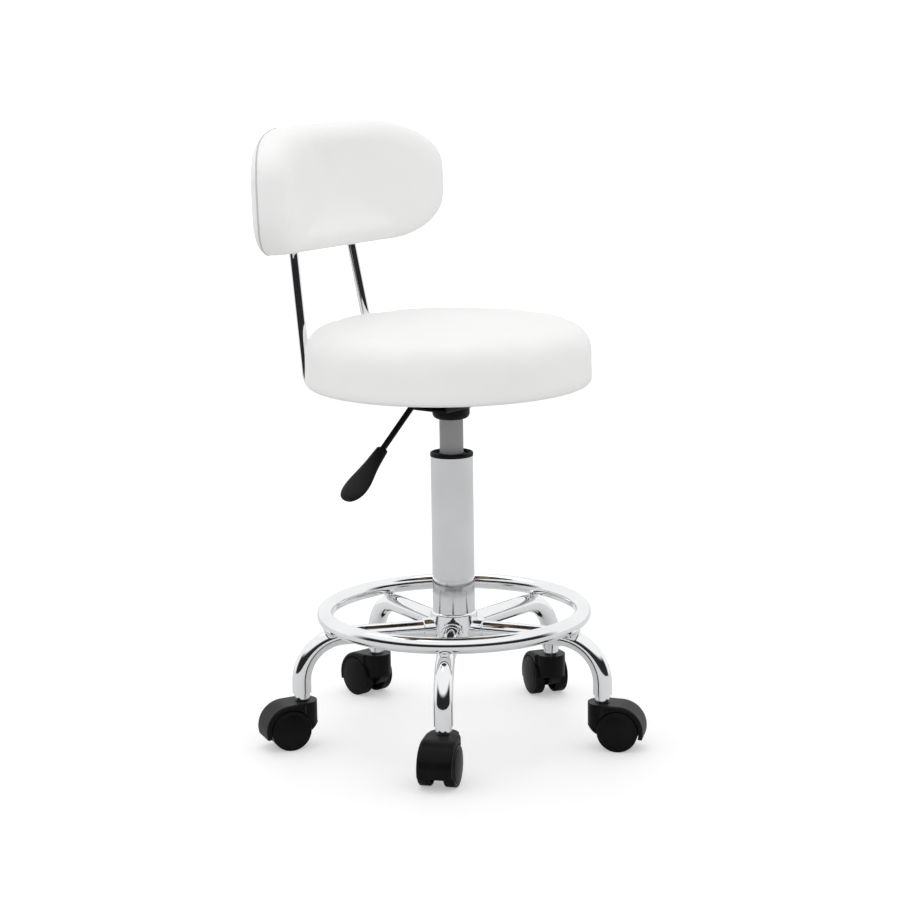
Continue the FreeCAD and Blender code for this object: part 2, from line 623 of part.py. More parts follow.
def pad_outline(inset):
    """Front view of the pad as a prism: wide elliptical corners at the top and tighter ones at the bottom."""
    half = PAD_HALF_WIDTH - inset
    y = PAD_MID_Y - PAD_CURVE_R
    top = (PAD_BOTTOM_Z + PAD_HEIGHT - inset, 1, PAD_TOP_CORNER)
    bottom = (PAD_BOTTOM_Z + inset, -1, PAD_BOTTOM_CORNER)
    edges = []
    for quarter, (side, (z, up, corner)) in enumerate(((1, top), (-1, top), (-1, bottom), (1, bottom))):
        wide, tall = corner[0] - inset, corner[1] - inset
        centre = V(side * (half - wide), y, z - up * tall)
        ellipse = Part.Ellipse(centre + OUT * wide, centre + UP * tall, centre)
        start = 0.5 * math.pi * quarter
        edges.append(Part.ArcOfEllipse(ellipse, start, start + 0.5 * math.pi).toShape())
    corners = list(edges)
    for this, following in zip(corners, corners[1:] + corners[:1]):
        start, end = this.valueAt(this.LastParameter), following.valueAt(following.FirstParameter)
        edges.append(Part.makeLine(start, end))
    outline = Part.Wire(Part.__sortEdges__(edges))
    return Part.Face(outline).extrude(SIDE * 2 * PAD_CURVE_R)


def make_pad(bars):
    """Back pad as a soft solid round a curved board, the bars' ends and their screws."""
    half = 0.5 * PAD_THICKNESS
    pad = curved_slab(-half, half).common(pad_outline(0))
    pad = pad.makeFillet(PAD_FRONT_EDGE_R, [edge for edge in pad.Edges if behind_middle(edge) < NEAR - half])
    pad = pad.makeFillet(PAD_BACK_EDGE_R, [edge for edge in pad.Edges if behind_middle(edge) > half - NEAR])
    board = leaned(curved_slab(*BACK_BOARD_DEPTH).common(pad_outline(BACK_BOARD_INSET)))
    screws = [back_screw(side, z) for side in (-1, 1) for z in BACK_SCREW_Z]
    board = board.cut(screws + bars)
    bars = [bar.cut(screws) for bar in bars]
    return leaned(pad).cut([board] + bars + screws), board, screws, bars


# ---------------------------------------------------------------- casters
def polar_xz(centre, radius, degrees):
    angle = math.radians(degrees)
    return centre + V(radius * math.cos(angle), 0, radius * math.sin(angle))


def across(outline, half_width):
    """Prism of an outline in the XZ plane, reaching half_width to each side."""
    prism = Part.Face(outline).extrude(SIDE * 2 * half_width)
    prism.translate(SIDE * -half_width)
    return prism


def make_hood():
    """Caster body trailing towards +X: a round head, a wide cover and a web between the wheels."""
    centre, top, head, half = WHEEL_CENTRE, HOOD_TOP_Z, HOOD_HEAD_R, HOOD_HALF_WIDTH
    brow = V(HOOD_BROW_X, 0, top)
    to_brow = brow - centre
    cover_start = math.degrees(math.atan2(to_brow.z, to_brow.x) - math.acos(HOOD_R / to_brow.Length))
    cover_end = polar_xz(centre, HOOD_R, COVER_END_DEG)
    side_view = wire(V(-head, 0, HOOD_SKIRT_Z), V(-head, 0, top), brow, polar_xz(centre, HOOD_R, cover_start),
                     (polar_xz(centre, HOOD_R, 0.5 * (cover_start + COVER_END_DEG)), cover_end),
                     polar_xz(centre, HOOD_INNER_R - PAST, COVER_END_DEG))
    block = across(side_view, half)
    block = block.makeFillet(HOOD_EDGE_R, [edge for edge in block.Edges if on_outer_rim(edge, centre)])
    far = centre.x + HOOD_R + PAST
    plan = wire(V(0, -head, 0), (V(-head, 0, 0), V(0, head, 0)), V(HOOD_BROW_X, half, 0), V(far, half, 0),
                V(far, -half, 0), V(HOOD_BROW_X, -half, 0))
    wheel_room = crosswise(HOOD_INNER_R, centre, half + PAST)
    cover = block.common(Part.Face(plan).extrude(UP * (top + PAST))).cut(wheel_room)
    back, back_arc, back_end, front = [V(x, 0, z) for x, z in HOOD_WEB]
    web_r = HOOD_INNER_R + HOOD_WEB_OVERLAP
    low, middle, high = [polar_xz(centre, web_r, turn) for turn in HOOD_WEB_TURN_DEG]
    web = across(wire(back, (back_arc, back_end), front, low, (middle, high)), HOOD_WEB_HALF)
    hood = cover.fuse(web).removeSplitter()
    stem_hole = rod(STEM_R + RUN, STEM_BOTTOM_Z - STEM_END_GAP, top + PAST)
    return hood.cut([stem_hole, crosswise(AXLE_R + AXLE_FIT, centre, HOOD_WEB_HALF + PAST)])


def on_outer_rim(edge, centre):
    """True for an edge between a side of the hood and its top, slope or round cover."""
    middle = edge.valueAt(0.5 * (edge.FirstParameter + edge.LastParameter))
    outside = math.hypot(middle.x - centre.x, middle.z - centre.z) > HOOD_R - NEAR
    back = runs_along(edge, UP) and middle.x < 0
    return outside and not back and not runs_along(edge, SIDE)


def make_wheel():
    """Wheel of the +Y side: round tread, domed outer disc, hollow inner side and a blind bore."""
    bore = AXLE_R + RUN
    inner, face = WHEEL_INNER_Y, WHEEL_FACE_Y
    tread, shoulder = WHEEL_R, WHEEL_R - WHEEL_ROUND_R
    disc_r = WHEEL_RIM_R - WHEEL_STEP
    disc_z = face + WHEEL_STEP
    bore_end = AXLE_HALF + AXLE_END_GAP
    near, far = V(shoulder, 0, inner), V(tread, 0, face - WHEEL_ROUND_R)
    wheel = lathe(V(bore, 0, inner), V(WHEEL_HUB_R, 0, inner), V(WHEEL_HUB_R, 0, WHEEL_FLOOR_Y),
                  V(WHEEL_RIM_R, 0, WHEEL_FLOOR_Y), V(WHEEL_RIM_R, 0, inner), near,
                  quarter(near, V(tread, 0, inner), V(tread, 0, inner + WHEEL_ROUND_R)), far,
                  quarter(far, V(tread, 0, face), V(shoulder, 0, face)), V(WHEEL_RIM_R, 0, face),
                  V(disc_r, 0, disc_z), dome(disc_r, disc_z, WHEEL_DOME_Y), V(0, 0, bore_end),
                  V(bore, 0, bore_end))
    wheel.rotate(ORIGIN, OUT, -90)
    wheel.translate(WHEEL_CENTRE)
    return wheel


def make_stem():
    """Steel stem with its bright collar, fixed in the leg; the hood turns on its lower end."""
    low, high = STEM_COLLAR_Z
    return rod(STEM_R, STEM_BOTTOM_Z, STEM_TOP_Z).fuse(rod(STEM_COLLAR_R, low, high))


def make_plug():
    """Plug pressed into the leg's open end, with the stem's bore."""
    sleeve = rod(LEG_R - LEG_WALL - FIT, LEG_END_Z, PLUG_TOP_Z)
    flange = rod(LEG_R, STEM_COLLAR_Z[1], LEG_END_Z)
    return sleeve.fuse(flange).cut(rod(STEM_R, STEM_COLLAR_Z[1] - PAST, PLUG_TOP_Z + PAST))


def at_leg(shape, index):
    """Shape drawn about a stem's axis, turned to its caster's trail and moved to its leg."""
    place = polar(STEM_CIRCLE_R, LEG_ANGLES[index])
    return turned(shape, TRAIL_DEG[index], place.x, place.y)


# ---------------------------------------------------------------- build
def build():
    os.makedirs("parts", exist_ok=True)

    outside, leg = make_leg()
    for number, solid in enumerate(around(leg, LEG_ANGLES), 1):
        save("leg_%d" % number, solid)
    save("hub", make_hub())
    save("foot_ring", *make_foot_ring(around(outside, LEG_ANGLES)))
    tube, end_plate, bushing = make_column()
    save("column_tube", tube)
    save("column_end_plate", end_plate)
    save("guide_bushing", bushing)

    lower_race, cage_and_balls, upper_race, buffer_ring = make_thrust_bearing()
    save("lower_race", lower_race)
    save("thrust_bearing", *cage_and_balls)
    save("upper_race", upper_race)
    save("rubber_buffer", buffer_ring)
    piston_rod, piston, clip = make_piston_rod()
    save("piston_rod", piston_rod)
    save("piston", piston)
    save("rod_clip", clip)
    cylinder, gland, valve, pin = make_gas_cylinder()
    save("gas_cylinder", cylinder)
    save("cylinder_gland", gland)
    save("valve_body", valve)
    save("release_pin", pin)

    plate, channel, bell, pivot = make_mechanism()
    save("seat_plate", plate)
    save("mechanism_channel", channel)
    save("taper_bell", bell)
    save("lever_pivot_pin", pivot)
    lever, grip = make_lever()
    save("lever_rod", lever)
    save("lever_grip", grip)

    cushion, board, bolts, nuts = make_seat()
    save("seat_cushion", cushion)
    save("seat_board", board)
    save("seat_bolts", *bolts)
    save("tee_nuts", *nuts)

    save("back_bracket", plate_with_holes(-BRACKET_HALF_LENGTH, BRACKET_HALF_LENGTH, *BRACKET_Y))
    pad, back_board, screws, bars = make_pad([make_bar(-1), make_bar(1)])
    save("back_bar_right", bars[0])
    save("back_bar_left", bars[1])
    save("back_pad", pad)
    save("back_board", back_board)
    save("back_screws", *screws)

    hood = make_hood()
    wheel = make_wheel()
    other_wheel = wheel.mirror(ORIGIN, SIDE)
    axle = crosswise(AXLE_R, WHEEL_CENTRE, AXLE_HALF)
    for index in range(LEG_COUNT):
        number = index + 1
        save("caster_hood_%d" % number, at_leg(hood, index))
        save("caster_axle_%d" % number, at_leg(axle, index))
        save("caster_wheel_%da" % number, at_leg(wheel, index))
        save("caster_wheel_%db" % number, at_leg(other_wheel, index))
    save("caster_stems", *[at_leg(make_stem(), index) for index in range(LEG_COUNT)])
    save("leg_end_plugs", *[at_leg(make_plug(), index) for index in range(LEG_COUNT)])


build()
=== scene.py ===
"""Look of the rolling stylist stool: upholstery, trim, materials, floor, light and camera over the CAD frame.

Lengths are metres. A sitter faces -Y, the back pad is on the +Y side and +Z is up.
"""
import math

import bmesh
import bpy
from mathutils import Matrix, Vector, noise


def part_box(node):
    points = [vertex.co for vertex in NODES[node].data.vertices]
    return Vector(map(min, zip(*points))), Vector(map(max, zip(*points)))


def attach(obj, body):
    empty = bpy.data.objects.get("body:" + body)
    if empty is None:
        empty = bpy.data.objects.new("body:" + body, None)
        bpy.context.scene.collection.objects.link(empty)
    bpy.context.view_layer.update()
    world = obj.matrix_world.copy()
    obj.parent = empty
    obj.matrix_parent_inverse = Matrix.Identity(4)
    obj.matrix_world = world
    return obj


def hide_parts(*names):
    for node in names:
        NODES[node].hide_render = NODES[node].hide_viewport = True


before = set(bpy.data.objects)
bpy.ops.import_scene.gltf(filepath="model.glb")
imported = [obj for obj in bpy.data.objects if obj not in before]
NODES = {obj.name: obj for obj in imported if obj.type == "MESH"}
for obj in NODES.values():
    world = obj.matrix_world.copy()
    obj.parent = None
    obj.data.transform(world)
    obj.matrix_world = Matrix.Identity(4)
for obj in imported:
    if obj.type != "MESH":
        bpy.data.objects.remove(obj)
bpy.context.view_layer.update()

# ---------------------------------------------------------------- driving sizes
VIEW_AZIMUTH = math.radians(53.0)      # the camera stands this far round from -Y towards -X
VIEW_ELEVATION = math.radians(11.01)
VIEW_ROLL = math.radians(-0.87)
VIEW_DISTANCE = 3.0
VIEW_LENS = 102.15
VIEW_AIM_SIDE = -0.0019
VIEW_AIM_HEIGHT = 0.3433
SENSOR_WIDTH = 36.0
VIEW_FAR = 200

FLOOR_R = 2.6
FLOOR_GLOW = 0.36
SKY_STRENGTH = 0.95
SKY_GAIN = 0.5                         # how much brighter the studio is where it is seen directly
DARK_TOP = (0.36, 0.55)                # sine of the heights between which the dark room fades out
DARK_ROOM = (0.02, 0.02, 0.022)
DARK_SIDE = (-0.15, 0.25)              # cosine of the angles from the camera between which it fades in
LAMP_AZIMUTH = math.radians(150)       # from the camera's side
LAMP_ELEVATION = math.radians(72)
LAMP_DISTANCE = 2.2
LAMP_SIZE = 1.8
LAMP_POWER = 8
LAMP_AIM_HEIGHT = 0.4

SEAT_CENTRE = Vector((0, 0.003, 0))
SEAT_BOTTOM = 0.422
SEAT_R = 0.1679
SEAT_EDGE_R = 0.008
SEAT_WALL_TOP = 0.4625
SEAT_SHOULDER = (0.141, 0.4905)
SEAT_CROWN = 0.4975
SEAT_SWELL = 0.003
SEAT_UNDER_R = (0.05, 0.12)            # radii of the rows on the underside
WRAP = 0.0005                          # the cover goes this far under the board's rim
BOARD_R = 0.1525
UNDERSIDE_LIFT = 0.002                 # the cover is this far above the board's underside within its rim
HEM_START = 0.014
HEM_HEIGHT = 0.025
PUCKER = 0.0006
PUCKER_SCALE = (14, 30)                # waves round the rim, and up the wall

CLOTH_HOLE_R = 0.096
CLOTH_R = 0.1532
CLOTH_CLEAR = 0.002                    # gap round the back bracket
CLOTH_TUCK = 0.0002
CLOTH_SAG = 0.0012
CLOTH_THICKNESS = 0.0004

PAD_BOTTOM = 0.5713
PAD_HEIGHT = 0.1508
PAD_MID_Y = 0.183
PAD_CURVE_R = 0.256
PAD_LEAN = math.radians(-1.2)
PAD_HALF_WIDTH = 0.1615
PAD_BACK = 0.0235                      # depth of the back face behind the middle surface
PAD_FRONT = 0.0215
PAD_TOP_CORNER = (0.094, 0.061)
PAD_BOTTOM_CORNER = (0.064, 0.055)
PAD_BACK_EDGE_R = 0.010
PAD_FRONT_EDGE_R = 0.021
PAD_SWELL = 0.002
PAD_CROWN = 0.0030
PAD_ROWS = (0.88, 0.72, 0.56, 0.4, 0.24, 0.1)    # how far out each row of a face lies

VOXEL = 0.005
PRESSURE = 4.0
COVER_STIFFNESS = 12
COVER_BENDING = 4
CLOTH_FRAMES = 20
SEAT_RELAX = 20
PAD_RELAX = 8
RELAX_SHARE = 0.5
WELT_R = 0.0011
WELT_TURN = math.radians(64)
SCREW_HEAD_R = 0.0045
SCREW_HEAD_SHOWS = 0.0016
DIMPLE_R = (0.006, 0.018)              # the cover is fully drawn in within the first, and free past the other

ROUND_STEPS = 96                       # points round the seat and the floor
CORNER_STEPS = 20                      # points on each corner of the pad
EDGE_STEPS = 6
SHOULDER_STEPS = 8
CLOTH_SPOKES = 180
CLOTH_RINGS = 5
NOISE_SPAN = (0.3, 0.7)                # most of a noise texture's output lies in here
TINY = 1e-6


# ---------------------------------------------------------------- mesh helpers
def new_object(name, data):
    """Object of a mesh, curve, light or camera, linked to the scene."""
    piece = bpy.data.objects.new(name, data)
    bpy.context.scene.collection.objects.link(piece)
    return piece


def smooth(mesh):
    for polygon in mesh.polygons:
        polygon.use_smooth = True


def mesh_from(name, points, faces):
    mesh = bpy.data.meshes.new(name)
    mesh.from_pydata(points, [], faces)
    mesh.update()
    smooth(mesh)
    return mesh


def closed_loops(name, loops, cap_low, cap_high):
    """Mesh over a stack of closed loops of equal length, closed by a point at each end."""
    count = len(loops[0])
    points = [point for loop in loops for point in loop]
    faces = []
    for row in range(len(loops) - 1):
        for col in range(count):
            after = (col + 1) % count
            low = row * count
            faces.append((low + col, low + after, low + count + after, low + count + col))
    for cap, row in ((cap_low, 0), (cap_high, len(loops) - 1)):
        points.append(cap)
        tip = len(points) - 1
        edge = [(row * count + col, row * count + (col + 1) % count) for col in range(count)]
        faces += [(tip, b, a) if row == 0 else (tip, a, b) for a, b in edge]
    return mesh_from(name, points, faces)


def apply_modifiers(piece):
    """Replace the piece's mesh by what its modifiers make of it, and drop them."""
    graph = bpy.context.evaluated_depsgraph_get()
    mesh = bpy.data.meshes.new_from_object(piece.evaluated_get(graph))
    piece.modifiers.clear()
    piece.data = mesh
    smooth(mesh)


def inflate(piece, swell, relaxing, freedom):
    """Blow the closed cover up over its foam with a short cloth simulation.

    freedom(point) is from 0 to 1: the share of swell that a point may move, and of the smoothing it gets.
    """
    remesh = piece.modifiers.new("even", "REMESH")
    remesh.mode = "VOXEL"
    remesh.voxel_size = VOXEL
    apply_modifiers(piece)
    start = [vertex.co.copy() for vertex in piece.data.vertices]
    cloth = piece.modifiers.new("cover", "CLOTH")
    cloth.settings.use_pressure = True
    cloth.settings.uniform_pressure_force = PRESSURE
    cloth.settings.tension_stiffness = COVER_STIFFNESS
    cloth.settings.compression_stiffness = COVER_STIFFNESS
    cloth.settings.bending_stiffness = COVER_BENDING
    cloth.settings.effector_weights.gravity = 0
    cloth.point_cache.frame_start = 1
    cloth.point_cache.frame_end = CLOTH_FRAMES
    for step in range(1, CLOTH_FRAMES + 1):
        bpy.context.scene.frame_set(step)
    apply_modifiers(piece)
    for vertex, origin in zip(piece.data.vertices, start):
        move = vertex.co - origin
        limit = swell * freedom(origin)
        if move.length > limit:
            vertex.co = origin + move.normalized() * limit
    bpy.context.scene.frame_set(1)
    free = piece.vertex_groups.new(name="free")
    for index, origin in enumerate(start):
        free.add([index], freedom(origin), "REPLACE")
    relax = piece.modifiers.new("relax", "SMOOTH")
    relax.vertex_group = "free"
    relax.factor = RELAX_SHARE
    relax.iterations = relaxing
    finer = piece.modifiers.new("finer", "SUBSURF")
    finer.levels = 1
    apply_modifiers(piece)


# ---------------------------------------------------------------- materials
def new_material(name):
    material = bpy.data.materials.new(name)
    material.use_nodes = True
    return material, material.node_tree, material.node_tree.nodes["Principled BSDF"]


def add(tree, kind, **values):
    node = tree.nodes.new(kind)
    for key, value in values.items():
        setattr(node, key, value)
    return node


def noise_node(tree, scale, detail, stretch=(1, 1, 1)):
    """Noise over the piece's own metres, stretched along its axes."""
    coordinates = add(tree, "ShaderNodeTexCoord")
    mapping = add(tree, "ShaderNodeMapping")
    mapping.inputs["Scale"].default_value = stretch
    texture = add(tree, "ShaderNodeTexNoise")
    texture.inputs["Scale"].default_value = scale
    texture.inputs["Detail"].default_value = detail
    tree.links.new(coordinates.outputs["Object"], mapping.inputs["Vector"])
    tree.links.new(mapping.outputs["Vector"], texture.inputs["Vector"])
    return texture


def vary(tree, source, target, low, high):
    """Drive a socket between low and high by a texture."""
    span = add(tree, "ShaderNodeMapRange")
    span.inputs["From Min"].default_value = NOISE_SPAN[0]
    span.inputs["From Max"].default_value = NOISE_SPAN[1]
    span.inputs["To Min"].default_value = low
    span.inputs["To Max"].default_value = high
    tree.links.new(source, span.inputs["Value"])
    tree.links.new(span.outputs["Result"], target)


def tint(tree, source, target, dark, light):
    """Drive a colour socket between dark and light by a texture."""
    ramp = add(tree, "ShaderNodeValToRGB")
    for stop, place, colour in zip(ramp.color_ramp.elements, NOISE_SPAN, (dark, light)):
        stop.position = place
        stop.color = (*colour, 1)
    tree.links.new(source, ramp.inputs["Fac"])
    tree.links.new(ramp.outputs["Color"], target)


def product(tree, first, second):
    """Output of a node that multiplies two sockets, or a socket and a number."""
    node = add(tree, "ShaderNodeMath", operation="MULTIPLY")
    tree.links.new(first, node.inputs[0])
    if isinstance(second, float):
        node.inputs[1].default_value = second
    else:
        tree.links.new(second, node.inputs[1])
    return node.outputs["Value"]


def fade(tree, source, span, ends):
    """Output of a smooth step: the first of ends before the span, and the second after it."""
    step = add(tree, "ShaderNodeMapRange", interpolation_type="SMOOTHSTEP")
    for key, value in zip(("From Min", "From Max", "To Min", "To Max"), (*span, *ends)):
        step.inputs[key].default_value = value
    tree.links.new(source, step.inputs["Value"])
    return step.outputs["Result"]


def bump(tree, shader, heights):
    """Stack of bumps, each (texture output, strength, depth in metres)."""
    below = None
    for source, strength, depth in heights:
        node = add(tree, "ShaderNodeBump")
        node.inputs["Strength"].default_value = strength
        node.inputs["Distance"].default_value = depth
        tree.links.new(source, node.inputs["Height"])
        if below:
            tree.links.new(below.outputs["Normal"], node.inputs["Normal"])
        below = node
    tree.links.new(below.outputs["Normal"], shader.inputs["Normal"])


def metal(name, dark, light, rough, fine_scale=900, stretch=(1, 1, 1), polish=0.04):
    """Plated or brushed metal with faint cloudiness and fine rub marks."""
    material, tree, shader = new_material(name)
    shader.inputs["Metallic"].default_value = 1.0
    cloud = noise_node(tree, 14, 3)
    marks = noise_node(tree, fine_scale, 2, stretch)
    tint(tree, cloud.outputs["Fac"], shader.inputs["Base Color"], dark, light)
    vary(tree, cloud.outputs["Fac"], shader.inputs["Roughness"], *rough)
    bump(tree, shader, [(marks.outputs["Fac"], polish, 0.0001)])
    return material


def plastic(name, dark, light, rough, grain, grain_depth, shine=0.25):
    """Moulded plastic or coat with fine grain."""
    material, tree, shader = new_material(name)
    shader.inputs["Specular IOR Level"].default_value = shine
    cloud = noise_node(tree, 25, 4)
    fine = noise_node(tree, grain, 2)
    tint(tree, cloud.outputs["Fac"], shader.inputs["Base Color"], dark, light)
    vary(tree, cloud.outputs["Fac"], shader.inputs["Roughness"], *rough)
    bump(tree, shader, [(fine.outputs["Fac"], 0.35, grain_depth)])
    return material


def vinyl(name):
    """White upholstery vinyl: pebbled grain over a soft unevenness of the foam."""
    material, tree, shader = new_material(name)
    coordinates = add(tree, "ShaderNodeTexCoord")
    pebble = add(tree, "ShaderNodeTexVoronoi")
    pebble.inputs["Scale"].default_value = 900
    pebble.feature = "SMOOTH_F1"
    tree.links.new(coordinates.outputs["Object"], pebble.inputs["Vector"])
    cloud = noise_node(tree, 9, 3)
    crease = noise_node(tree, 60, 4)
    tint(tree, cloud.outputs["Fac"], shader.inputs["Base Color"], (0.87, 0.87, 0.865), (0.90, 0.90, 0.895))
    vary(tree, crease.outputs["Fac"], shader.inputs["Roughness"], 0.46, 0.56)
    shader.inputs["Specular IOR Level"].default_value = 0.3
    shader.inputs["Sheen Weight"].default_value = 0.05
    bump(tree, shader, [(pebble.outputs["Distance"], 0.12, 0.0002), (crease.outputs["Fac"], 0.10, 0.0006)])
    return material


def wood(name):
    """Plywood: pale plies seen on edge, with fine grain on the faces."""
    material, tree, shader = new_material(name)
    coordinates = add(tree, "ShaderNodeTexCoord")
    plies = add(tree, "ShaderNodeTexWave", bands_direction="Z")
    plies.inputs["Scale"].default_value = 105
    plies.inputs["Distortion"].default_value = 0.6
    tree.links.new(coordinates.outputs["Object"], plies.inputs["Vector"])
    grain = noise_node(tree, 60, 6, (1, 12, 12))
    tint(tree, plies.outputs["Fac"], shader.inputs["Base Color"], (0.42, 0.27, 0.14), (0.70, 0.52, 0.32))
    vary(tree, grain.outputs["Fac"], shader.inputs["Roughness"], 0.6, 0.8)
    bump(tree, shader, [(grain.outputs["Fac"], 0.2, 0.0003)])
    return material


def cloth(name):
    """Black non-woven dust cloth: short random fibres."""
    material, tree, shader = new_material(name)
    fibre = noise_node(tree, 500, 6, (1, 3, 1))
    tint(tree, fibre.outputs["Fac"], shader.inputs["Base Color"], (0.008, 0.008, 0.008), (0.03, 0.03, 0.03))
    shader.inputs["Roughness"].default_value = 0.9
    shader.inputs["Sheen Weight"].default_value = 0.3
    bump(tree, shader, [(fibre.outputs["Fac"], 0.6, 0.0004)])
    return material


CHROME = metal("chrome_plate", (0.88, 0.89, 0.90), (0.94, 0.95, 0.96), (0.04, 0.08))
SATIN_CHROME = metal("satin_chrome_plate", (0.69, 0.70, 0.71), (0.77, 0.78, 0.79), (0.07, 0.12))
ZINC = metal("zinc_plate", (0.50, 0.51, 0.50), (0.66, 0.67, 0.66), (0.25, 0.38), polish=0.1)
TURNED_STEEL = metal("turned_steel", (0.60, 0.61, 0.62), (0.72, 0.73, 0.74), (0.14, 0.22),
                     fine_scale=1500, stretch=(1, 1, 12), polish=0.08)
BRASS = metal("turned_brass", (0.62, 0.44, 0.18), (0.75, 0.56, 0.26), (0.22, 0.34))
GREY_COAT = plastic("grey_satin_coat", (0.34, 0.34, 0.345), (0.375, 0.375, 0.38), (0.42, 0.5), 900, 0.0001)
CASTER_BLACK = plastic("black_nylon", (0.004, 0.004, 0.0045), (0.007, 0.007, 0.0075), (0.28, 0.40),
                       700, 0.0001, shine=0.10)
TRIM_BLACK = plastic("black_moulded_trim", (0.004, 0.004, 0.004), (0.008, 0.008, 0.008), (0.45, 0.6),
                     1200, 0.0002, shine=0.15)
BLACK_COAT = plastic("black_powder_coat", (0.004, 0.004, 0.0045), (0.008, 0.008, 0.0085), (0.4, 0.55),
                     1600, 0.0002, shine=0.15)
RUBBER = plastic("black_rubber", (0.015, 0.015, 0.015), (0.03, 0.03, 0.03), (0.7, 0.85), 500, 0.0003)
WHITE_VINYL = vinyl("white_vinyl")
PLYWOOD = wood("birch_plywood")
DUST_CLOTH = cloth("black_dust_cloth")
# Piping of the back pad's seam: its grey is painted shade, standing in for the thin shadow line along the
# seam.
SEAM_SHADE_PIPING = plastic("piping_painted_seam_shade", (0.56, 0.56, 0.56), (0.60, 0.60, 0.60), (0.5, 0.6), 900, 0.0001)


LOOKS = {"hub": CHROME, "foot_ring": CHROME, "leg": CHROME, "leg_end_plugs": CHROME, "back_bar": CHROME,
         "caster_stems": CHROME, "column_tube": SATIN_CHROME, "gas_cylinder": GREY_COAT,
         "seat_board": PLYWOOD, "back_board": PLYWOOD, "caster_hood": CASTER_BLACK,
         "caster_wheel": CASTER_BLACK, "guide_bushing": TRIM_BLACK, "taper_bell": TRIM_BLACK,
         "lever_grip": TRIM_BLACK, "valve_body": TRIM_BLACK, "cylinder_gland": TRIM_BLACK,
         "lever_rod": BLACK_COAT, "mechanism_channel": BLACK_COAT, "seat_plate": BLACK_COAT,
         "back_bracket": BLACK_COAT, "rubber_buffer": RUBBER, "piston": BRASS, "piston_rod": TURNED_STEEL,
         "thrust_bearing": TURNED_STEEL}


def dress(piece, material):
    piece.data.materials.clear()
    piece.data.materials.append(material)


def fasten(piece, body, material):
    """Give a new visible piece its body and its material."""
    dress(piece, material)
    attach(piece, body)


def dress_frame():
    """Give every CAD node its material: the longest name in LOOKS that it starts with, or zinc plate."""
    for name, piece in NODES.items():
        fitting = [key for key in LOOKS if name.startswith(key)]
        material = LOOKS[max(fitting, key=len)] if fitting else ZINC
        for slot in piece.material_slots:
            slot.material = material


# ---------------------------------------------------------------- seat
def quarter_arc(r, z, wide, tall, start, steps):
    """Points (r, z) on a quarter of an ellipse round the centre given, from a start angle upwards."""
    points = []
    for step in range(steps + 1):
        angle = start + 0.5 * math.pi * step / steps
        points.append((r + wide * math.cos(angle), z + tall * math.sin(angle)))
    return points


def seat_profile():
    """Radius and height along the seat's cover, from under its rim to near the middle of its top."""
    low = SEAT_BOTTOM - WRAP
    shoulder_r, shoulder_z = SEAT_SHOULDER
    profile = [(radius, low) for radius in SEAT_UNDER_R]
    profile += quarter_arc(SEAT_R - SEAT_EDGE_R, low + SEAT_EDGE_R, SEAT_EDGE_R, SEAT_EDGE_R,
                           -0.5 * math.pi, EDGE_STEPS)
    profile.append((SEAT_R, 0.5 * (low + SEAT_WALL_TOP)))
    profile += quarter_arc(shoulder_r, SEAT_WALL_TOP, SEAT_R - shoulder_r, shoulder_z - SEAT_WALL_TOP,
                           0, SHOULDER_STEPS)
    for step in range(1, EDGE_STEPS):
        share = 1 - step / EDGE_STEPS
        profile.append((shoulder_r * share, SEAT_CROWN - (SEAT_CROWN - shoulder_z) * share * share))
    return profile


def make_seat():
    headings = [Vector((math.cos(angle), math.sin(angle), 0))
                for angle in (2 * math.pi * step / ROUND_STEPS for step in range(ROUND_STEPS))]
    loops = [[SEAT_CENTRE + radius * heading + Vector((0, 0, z)) for heading in headings]
             for radius, z in seat_profile()]
    low = SEAT_CENTRE + Vector((0, 0, SEAT_BOTTOM - WRAP))
    high = SEAT_CENTRE + Vector((0, 0, SEAT_CROWN))
    seat = new_object("seat_cover", closed_loops("seat_cover", loops, low, high))
    inflate(seat, SEAT_SWELL, SEAT_RELAX, above_hem)
    gather_hem(seat)
    finish_pad(seat, "seat_cushion")


def above_hem(point):
    """0 at the seat's lower edge, rising to 1 up its wall."""
    return min(1.0, max(0.0, (point.z - SEAT_BOTTOM - HEM_START) / HEM_HEIGHT))


def gather_hem(seat):
    """Draw the cover's lower edge down round the board, with faint puckers that fade out up the wall."""
    drop = min(vertex.co.z for vertex in seat.data.vertices) - (SEAT_BOTTOM - WRAP)
    for vertex in seat.data.vertices:
        out = vertex.co - SEAT_CENTRE
        rise = vertex.co.z - SEAT_BOTTOM
        fade = min(1.0, max(0.0, 1 - rise / HEM_HEIGHT))
        vertex.co.z -= drop * fade
        radius = math.hypot(out.x, out.y)
        if radius < BOARD_R:
            vertex.co.z = max(vertex.co.z, SEAT_BOTTOM + UNDERSIDE_LIFT)
        else:
            place = Vector((math.atan2(out.y, out.x) * PUCKER_SCALE[0], rise * PUCKER_SCALE[1], 2.0))
            pucker = noise.noise(place) * PUCKER * fade
            vertex.co.x += pucker * out.x / radius
            vertex.co.y += pucker * out.y / radius


def finish_pad(piece, node):
    """Let a finished cover stand in for its CAD solid."""
    fasten(piece, "seat", WHITE_VINYL)
    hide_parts(node)


